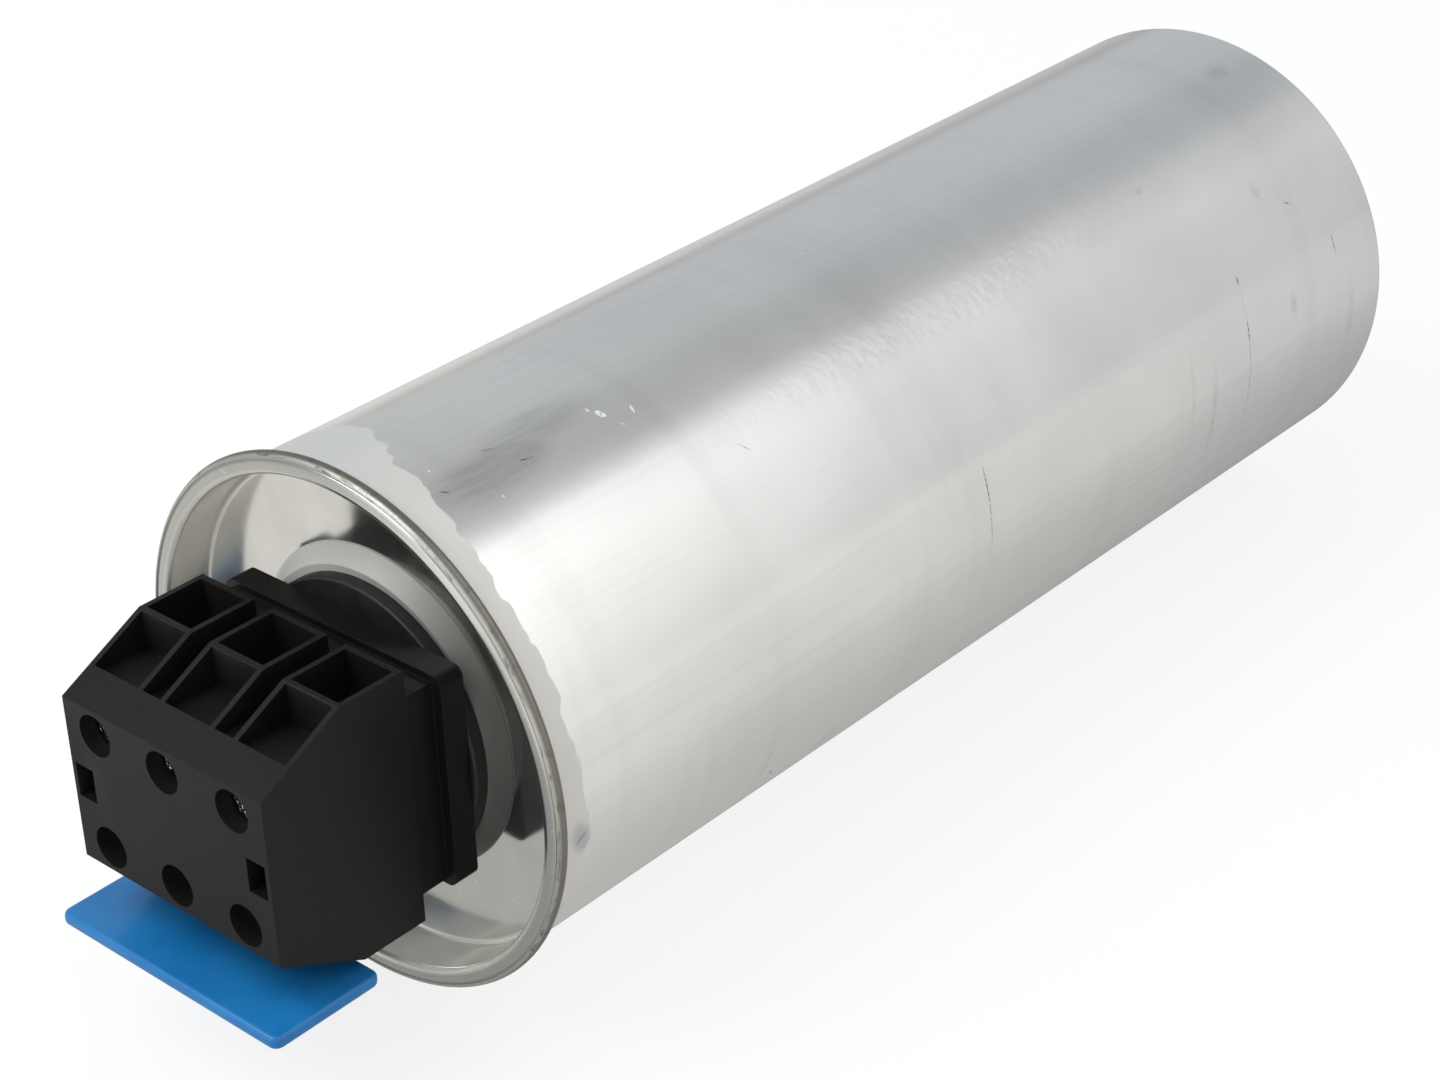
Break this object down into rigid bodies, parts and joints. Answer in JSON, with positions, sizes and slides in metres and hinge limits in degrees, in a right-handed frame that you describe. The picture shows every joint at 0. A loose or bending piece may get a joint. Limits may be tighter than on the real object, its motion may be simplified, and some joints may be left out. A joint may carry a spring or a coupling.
{
  "type": "power factor correction capacitor",
  "caption": "Cylindrical power capacitor: drawn aluminium can with a threaded base stud, rolled lid seam, and a black screw terminal block with a blue discharge resistor board.",
  "frame": {"origin": "centre of the can's flat base, where the fixing stud leaves it", "axes": "+Y along the can, out of the base along the stud; +Z the height of the terminal block; the can lies on its side with its terminals towards -Y"},
  "size_m": [0.122, 0.3819, 0.122],
  "materials": {
    "drawn_aluminium": "drawn, bare and polished, with fine marks along and around it",
    "pressed_aluminium": "pressed and bright",
    "seam_rubber": "matte compound",
    "black_rubber": "moulded, satin",
    "black_polyamide_base": "moulded, satin",
    "black_polyamide_housing": "moulded, satin",
    "zinc_plated_screws": "turned and zinc plated",
    "zinc_plated_nuts": "zinc plated",
    "zinc_plated_cages": "bent sheet, zinc plated",
    "brass_bar": "cut strip",
    "brass_pin": "turned",
    "tinned_strip": "tinned",
    "blue_epoxy": "dipped, smooth and glossy",
    "metallised_film": "wound film",
    "core_plastic": "extruded",
    "sprayed_zinc": "sprayed, grainy",
    "insulating_plastic": "moulded",
    "insulating_film": "rolled film",
    "copper_lead": "flat strip"
  },
  "bodies": {
    "root": {"can": "drawn_aluminium", "lid": "pressed_aluminium", "seam_compound": "seam_rubber", "terminal_seal": "black_rubber", "terminal_base": "black_polyamide_base", "terminal_housing": "black_polyamide_housing", "phase_bar_1": "brass_bar", "phase_bar_2": "brass_bar", "phase_bar_3": "brass_bar", "clamp_cage_1": "zinc_plated_cages", "clamp_cage_2": "zinc_plated_cages", "clamp_cage_3": "zinc_plated_cages", "clamp_cage_4": "zinc_plated_cages", "clamp_cage_5": "zinc_plated_cages", "clamp_cage_6": "zinc_plated_cages", "terminal_screws": "zinc_plated_screws", "feedthrough_pin_1": "brass_pin", "feedthrough_pin_2": "brass_pin", "feedthrough_pin_3": "brass_pin", "pin_nuts": "zinc_plated_nuts", "discharge_board": "blue_epoxy", "discharge_contact_1": "tinned_strip", "discharge_contact_2": "tinned_strip", "discharge_contact_3": "tinned_strip", "winding_1": "metallised_film", "winding_2": "metallised_film", "winding_3": "metallised_film", "core_tube_1": "core_plastic", "core_tube_2": "core_plastic", "core_tube_3": "core_plastic", "sprayed_end_1": "sprayed_zinc", "sprayed_end_2": "sprayed_zinc", "sprayed_end_3": "sprayed_zinc", "sprayed_end_4": "sprayed_zinc", "sprayed_end_5": "sprayed_zinc", "sprayed_end_6": "sprayed_zinc", "winding_separator_1": "insulating_plastic", "winding_separator_2": "insulating_plastic", "base_tray": "insulating_plastic", "top_disc": "insulating_plastic", "winding_spacer": "insulating_plastic", "insulating_sleeve": "insulating_film", "phase_lead_1": "copper_lead", "phase_lead_2": "copper_lead", "phase_lead_3": "copper_lead"}
  },
  "joints": []
}
